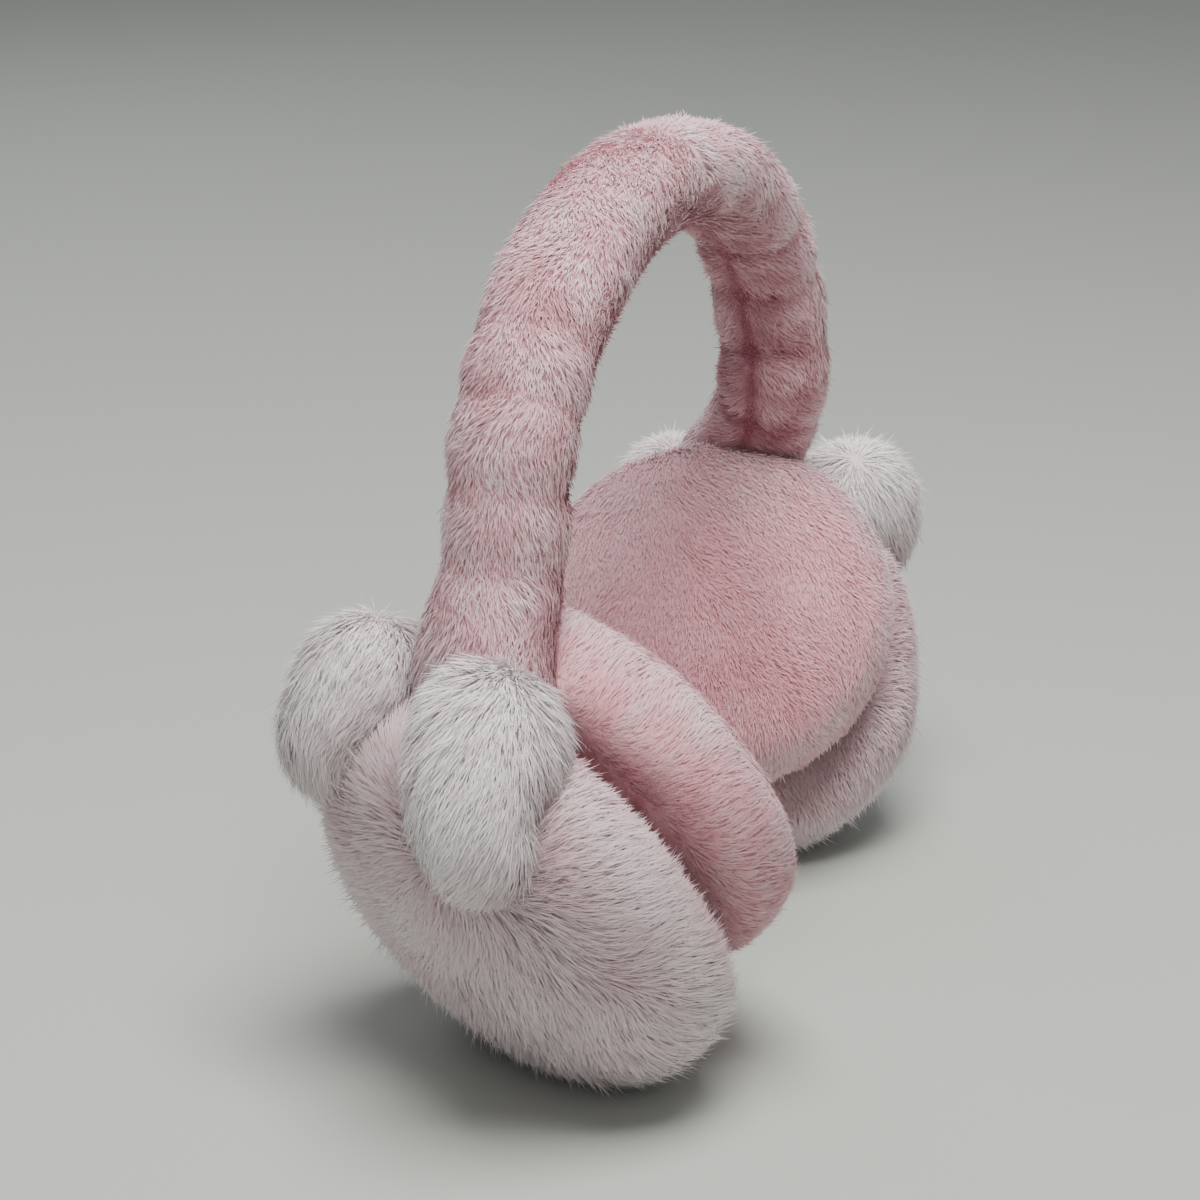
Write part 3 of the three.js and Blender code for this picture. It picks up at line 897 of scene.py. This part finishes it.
@dataclass
class Coat:
    """Grows a pile on a skin as one joined mesh of tapered fibres."""

    form: Form
    pile: Pile
    seed: int
    floor: float = 0.15

    def roots(self, skin: bpy.types.Object) -> tuple[Array, Array]:
        """Seeded places spread evenly over the skin, and the smooth normal at each."""
        rng = np.random.default_rng(self.seed)
        mesh = skin.data
        mesh.calc_loop_triangles()
        corners = np.empty(len(mesh.loop_triangles) * 3, int)
        mesh.loop_triangles.foreach_get("vertices", corners)
        corners = corners.reshape(-1, 3)
        places = Skin._read(mesh)
        flat = np.empty(len(mesh.vertices) * 3)
        mesh.vertices.foreach_get("normal", flat)
        normals = flat.reshape(-1, 3)
        tri = places[corners]
        area = np.linalg.norm(np.cross(tri[:, 1] - tri[:, 0], tri[:, 2] - tri[:, 0]), axis=1)
        grows = self.form.pile_length(tri.mean(1), unit(normals[corners].mean(1))) > 0.02
        area = area * grows
        pick = rng.choice(len(area), self.pile.count, p=area / area.sum())
        u, v = rng.random((2, self.pile.count))
        flip = u + v > 1
        u[flip], v[flip] = 1 - u[flip], 1 - v[flip]
        weights = np.stack([1 - u - v, u, v], -1)[..., None]
        return (tri[pick] * weights).sum(1), unit((normals[corners[pick]] * weights).sum(1))

    def grow(self, skin: bpy.types.Object, material: bpy.types.Material) -> bpy.types.Object:
        """Builds the fur.

        Args:
            skin: the finished cover.
            material: the fibre material.
        Returns:
            One mesh object holding every fibre.
        """
        rng = np.random.default_rng(self.seed + 1)
        pile = self.pile
        root, normal = self.roots(skin)
        count = len(root)
        comb = unit(self.form.comb(root, normal)) + pile.swirl * waves3(root, pile.swirl_size, self.seed)
        comb = unit(comb - dot(comb, normal) * normal)
        side = np.cross(normal, comb)
        stray = np.radians(rng.normal(0, pile.stray_deg, count))[:, None]
        comb, side = comb * np.cos(stray) + side * np.sin(stray), side * np.cos(stray) - comb * np.sin(stray)
        factor = self.form.pile_length(root, normal)
        length = pile.length * factor * np.clip(rng.normal(1, pile.spread, count), 0.35, 1.6)
        length = length[:, None]
        lift = rng.normal(0, LIFT_DEG, count)
        lift = lift + np.where(rng.random(count) < pile.fly, rng.uniform(*FLYAWAY_DEG, count), 0.0)
        start = np.radians(np.clip(pile.root_angle + lift, 12, 88))[:, None]
        finish = np.radians(np.clip(pile.tip_angle + lift, -8, 80))[:, None]

        def bearing(k: float) -> Array:
            """The fibre's direction at a share k of its length."""
            angle = start + (finish - start) * k
            return np.cos(angle) * comb + np.sin(angle) * normal

        curl = rng.normal(0, pile.curl, (count, 1)) * side
        middle = root + bearing(0.22) * length * LOWER_PART + 0.35 * curl
        tip = middle + bearing(0.78) * length * (1 - LOWER_PART) + curl
        middle, tip = self._clumped(root, middle, tip, rng)
        for station in (middle, tip):
            station[:, 2] = np.maximum(station[:, 2], self.floor)
        tone = self.form.tone(root, normal) + pile.tone_noise * waves(root, pile.tone_size, self.seed + 40)
        tone = np.clip(tone + rng.normal(0, FIBRE_TONE, count), 0.03, 0.97)
        return self._mesh(root - normal * ROOT_DEPTH, middle, tip, normal, tone, rng, material)

    def _clumped(
        self, root: Array, middle: Array, tip: Array, rng: np.random.Generator
    ) -> tuple[Array, Array]:
        """Draws neighbouring fibres together into soft locks."""
        leaders = rng.choice(len(root), max(8, len(root) // self.pile.clump), replace=False)
        tree = KDTree(len(leaders))
        for k, leader in enumerate(leaders):
            tree.insert(root[leader], k)
        tree.balance()
        nearest = np.fromiter((leaders[tree.find(p)[1]] for p in root), int, len(root))
        pull = (self.pile.pull * rng.uniform(0.35, 1.0, len(root)))[:, None]
        return middle + (middle[nearest] - middle) * pull * 0.4, tip + (tip[nearest] - tip) * pull

    def _mesh(self, root: Array, middle: Array, tip: Array, normal: Array, tone: Array,
              rng: np.random.Generator, material: bpy.types.Material) -> bpy.types.Object:
        """Writes a slim bent kite for each fibre, with its tone and its height as its map."""
        count = len(root)
        tangent = unit(tip - root)
        across = unit(np.cross(tangent, normal))
        twist = np.radians(rng.uniform(-35, 35, count))[:, None]
        across = across * np.cos(twist) + np.cross(tangent, across) * np.sin(twist)
        half = 0.5 * self.pile.width * rng.uniform(0.7, 1.3, (count, 1))
        points = np.stack([root, middle + across * half, middle - across * half, tip], 1)
        soft = unit(0.92 * normal + 0.08 * unit(np.cross(across, tangent)))
        shading = np.stack([soft, soft + 0.1 * across, soft - 0.1 * across, soft + 0.05 * tangent], 1)
        first = np.arange(count)[:, None] * 4
        faces = (first + np.array([[0, 1, 2, 2, 1, 3]])).ravel()
        mesh = bpy.data.meshes.new(self.form.node + "_fur")
        mesh.vertices.add(count * 4)
        mesh.vertices.foreach_set("co", (points * MM).ravel())
        mesh.loops.add(count * 6)
        mesh.loops.foreach_set("vertex_index", faces.astype(np.int32))
        mesh.polygons.add(count * 2)
        mesh.polygons.foreach_set("loop_start", np.arange(0, count * 6, 3, dtype=np.int32))
        mesh.update(calc_edges=True)
        mesh.polygons.foreach_set("use_smooth", [True] * (count * 2))
        uv = np.empty((count, 6, 2))
        uv[..., 0] = tone[:, None] + np.array([0, 1, -1, -1, 1, 0]) * 0.006
        uv[..., 1] = np.array([0.01, 0.45, 0.45, 0.45, 0.45, 0.99])
        mesh.uv_layers.new(name="OFBake").data.foreach_set("uv", uv.ravel())
        mesh.normals_split_custom_set_from_vertices(unit(shading).reshape(-1, 3))
        mesh.materials.append(material)
        fur = bpy.data.objects.new(self.form.node + "_fur", mesh)
        bpy.context.collection.objects.link(fur)
        return fur


# ---- the earmuffs ----------------------------------------------------------------------------
SHELL_PILE = Pile(
    count=75000, length=7.6, spread=0.2, width=0.28, root_angle=32, tip_angle=3, clump=12, pull=0.13,
    stray_deg=9, swirl=0.3, swirl_size=40, curl=0.5, tone_noise=0.12, tone_size=24, fly=0.03,
)
PAD_PILE = Pile(
    count=62000, length=3.2, spread=0.2, width=0.26, root_angle=24, tip_angle=1, clump=10, pull=0.06,
    stray_deg=10, swirl=0.35, swirl_size=30, curl=0.2, tone_noise=0.07, tone_size=26, fly=0.02,
)
BAND_PILE = Pile(
    count=84000, length=4.0, spread=0.2, width=0.28, root_angle=34, tip_angle=4, clump=12, pull=0.12,
    stray_deg=11, swirl=0.45, swirl_size=26, curl=0.35, tone_noise=0.17, tone_size=16, fly=0.03,
)
EAR_PILE = Pile(
    count=22000, length=7.0, spread=0.2, width=0.28, root_angle=32, tip_angle=3, clump=12, pull=0.15,
    stray_deg=9, swirl=0.25, swirl_size=30, curl=0.45, tone_noise=0.1, tone_size=18, fly=0.03,
)

SHELL_PLUSH = Plush("shell_plush", "shell_fur", roots=("#A67F87", "#D5B8BE", "#DDD1D3"),
                    tips=("#BC969D", "#E4D0D4", "#EEEBEB"), backing=("#9C6F78", "#D2B4BA", "#DDCED1"))
PAD_PLUSH = Plush("pad_plush", "pad_fur", roots=("#A65C69", "#DFA3AD", "#DBC4C9"),
                  tips=("#C17C88", "#E9B6BF", "#E5D9DC"), backing=("#9C5360", "#DFA6B0", "#DBC4C8"))
BAND_PLUSH = Plush("band_plush", "band_fur", roots=("#965564", "#DDA9B3", "#E8D2D7"),
                   tips=("#AF6E7B", "#E7BEC6", "#F2EAED"), backing=("#8A4857", "#DAA7B1", "#E6CDD2"))
EAR_PLUSH = Plush("ear_plush", "ear_fur", roots=("#B59A9F", "#D9CACC", "#ECE6E7"),
                  tips=("#C2ABAF", "#E7DEE0", "#FAF9F9"), backing=("#AB9095", "#D4C5C8", "#EAE2E3"))


@dataclass
class Piece:
    """One furred body: its skin, its coat and what they stand for."""

    form: Form
    plush: Plush
    pile: Pile
    seed: int
    inset: float
    voxel: float
    swell: float = 1.0
    clear: tuple[Form, ...] = field(default_factory=tuple)

    def dress(self) -> None:
        """Builds the piece and hands it to the frame."""
        skin = Skin(self.form, self.inset, self.voxel, self.swell, self.clear).build(self.plush.cloth())
        fur = Coat(self.form, self.pile, self.seed).grow(skin, self.plush.fibre())
        for made in (skin, fur):
            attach(made, "root")
        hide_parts(self.form.node)
        sizes = (len(skin.data.polygons), len(fur.data.polygons))
        log.info("%s: skin %d faces, fur %d faces", self.form.node, *sizes)


class Earmuffs:
    """The whole pair on its band."""

    GATHERS = (
        Gather(28, 0.8, 4.0), Gather(47, 1.1, 4.0), Gather(66, 1.2, 3.5), Gather(82, 0.8, 4.5),
        Gather(232, 1.0, 4.0), Gather(253, 1.2, 4.5), Gather(275, 0.9, 4.0), Gather(295, 0.8, 3.5),
    )

    def __init__(self) -> None:
        """Places the band, the cups and the ears."""
        self.band = BandForm((LEFT, RIGHT), self.GATHERS)
        self.shells = {cup.side: ShellForm(cup) for cup in (LEFT, RIGHT)}
        self.pads = {cup.side: PadForm(cup) for cup in (LEFT, RIGHT)}
        self.ears = (
            EarForm(LEFT, "left_ear_front", side=-1, around_deg=24, rise=49.5, out=21, splay_deg=41,
                    droop_deg=17, half_long=29.5, half_tall=24, half_thick=20, brush=0.8, pinch=0.6),
            EarForm(LEFT, "left_ear_back", side=1, around_deg=34, rise=57, out=18, splay_deg=28,
                    droop_deg=28, half_long=25, half_tall=18.5, half_thick=17.5),
            EarForm(RIGHT, "right_ear_front", side=-1, around_deg=33.5, rise=55, out=18, splay_deg=18,
                    droop_deg=5, half_long=25.5, half_tall=26, half_thick=17),
            EarForm(RIGHT, "right_ear_back", side=1, around_deg=24, rise=53, out=25, splay_deg=30,
                    droop_deg=20, half_long=25.5, half_tall=23, half_thick=17),
        )

    def pieces(self) -> list[Piece]:
        """Every furred body, largest first."""
        made = [Piece(self.band, BAND_PLUSH, BAND_PILE, seed=11, inset=0.6, voxel=3.6)]
        for k, side in enumerate(Side):
            made.append(Piece(self.shells[side], SHELL_PLUSH, SHELL_PILE,
                              seed=31 + k, inset=1.6, voxel=4.8, clear=(self.band,)))
            made.append(Piece(self.pads[side], PAD_PLUSH, PAD_PILE,
                              seed=51 + k, inset=0.5, voxel=4.6, clear=(self.band,)))
        for k, ear in enumerate(self.ears):
            around = (self.shells[ear.cup.side], self.pads[ear.cup.side], self.band)
            made.append(Piece(ear, EAR_PLUSH, EAR_PILE,
                              seed=71 + 3 * k, inset=1.8, voxel=3.8, clear=around))
        return made

    def dress(self) -> None:
        """Builds every body and hands it to the frame."""
        for piece in self.pieces():
            piece.dress()


# ---- studio ----------------------------------------------------------------------------------
LIT_PLACE = (0, 0, 0.1)  # where the lights are aimed, in metres


def aimed(direction: Vector) -> Euler:
    """Turn of a light or camera that looks along a direction."""
    return direction.to_track_quat("-Z", "Y").to_euler()


@dataclass(frozen=True)
class Softbox:
    """A square area light aimed at the middle of the object."""

    name: str
    place: tuple[float, float, float]
    size: float
    power: float
    colour: str

    def make(self) -> None:
        """Adds the light to the scene."""
        light = bpy.data.lights.new(self.name, "AREA")
        light.size = self.size
        light.energy = self.power
        light.color = linear(self.colour)[:3]
        lamp = bpy.data.objects.new(self.name, light)
        lamp.location = self.place
        lamp.rotation_euler = aimed(Vector(LIT_PLACE) - Vector(self.place))
        bpy.context.collection.objects.link(lamp)


class Studio:
    """Pale floor, soft light and the camera."""

    BOXES = (
        Softbox("top_softbox", (-0.25, -0.2, 1.3), 0.7, 30.0, "#FFFAF6"),
        Softbox("front_softbox", (-1.0, -0.7, 0.75), 1.0, 2.7, "#FFF6F2"),
        Softbox("back_softbox", (0.7, 0.9, 0.9), 1.0, 3.5, "#F4F6FF"),
    )
    FLOOR_SIZE = 8.0
    CAMERA_PLACE = (-0.7794, -0.3225, 0.3761)
    CAMERA_TURN_DEG = 23.27
    CAMERA_PITCH_DEG = -18.47
    LENS_MM = 102.4

    def floor(self) -> None:
        """A wide plain matt floor."""
        bm = bmesh.new()
        bmesh.ops.create_grid(bm, x_segments=2, y_segments=2, size=self.FLOOR_SIZE)
        mesh = bpy.data.meshes.new("studio_floor")
        bm.to_mesh(mesh)
        bm.free()
        material = bpy.data.materials.new("pale_floor")
        material.use_nodes = True
        shader = material.node_tree.nodes["Principled BSDF"]
        shader.inputs["Base Color"].default_value = linear("#AFB5AF")
        shader.inputs["Roughness"].default_value = 0.85
        mesh.materials.append(material)
        ground = bpy.data.objects.new("studio_floor", mesh)
        bpy.context.collection.objects.link(ground)

    def world(self) -> None:
        """Dim pale light from all round."""
        world = bpy.data.worlds.new("studio_world")
        world.use_nodes = True
        sky = world.node_tree.nodes["Background"]
        sky.inputs[0].default_value = linear("#E8E6EA")
        sky.inputs[1].default_value = 0.3
        bpy.context.scene.world = world

    def camera(self) -> None:
        """A long lens, looking down at the near cup."""
        lens = bpy.data.cameras.new("camera")
        lens.sensor_width = 36.0
        lens.lens = self.LENS_MM
        lens.clip_end = 20.0
        camera = bpy.data.objects.new("camera", lens)
        camera.location = self.CAMERA_PLACE
        turn, pitch = math.radians(self.CAMERA_TURN_DEG), math.radians(self.CAMERA_PITCH_DEG)
        level = math.cos(pitch)
        gaze = Vector((level * math.cos(turn), level * math.sin(turn), math.sin(pitch)))
        camera.rotation_euler = aimed(gaze)
        bpy.context.collection.objects.link(camera)
        bpy.context.scene.camera = camera

    def build(self) -> None:
        """Adds the floor, the light and the camera."""
        self.floor()
        self.world()
        self.camera()
        for box in self.BOXES:
            box.make()


def main() -> None:
    """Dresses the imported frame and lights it."""
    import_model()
    Earmuffs().dress()
    Studio().build()


if __name__ == "__main__":
    main()
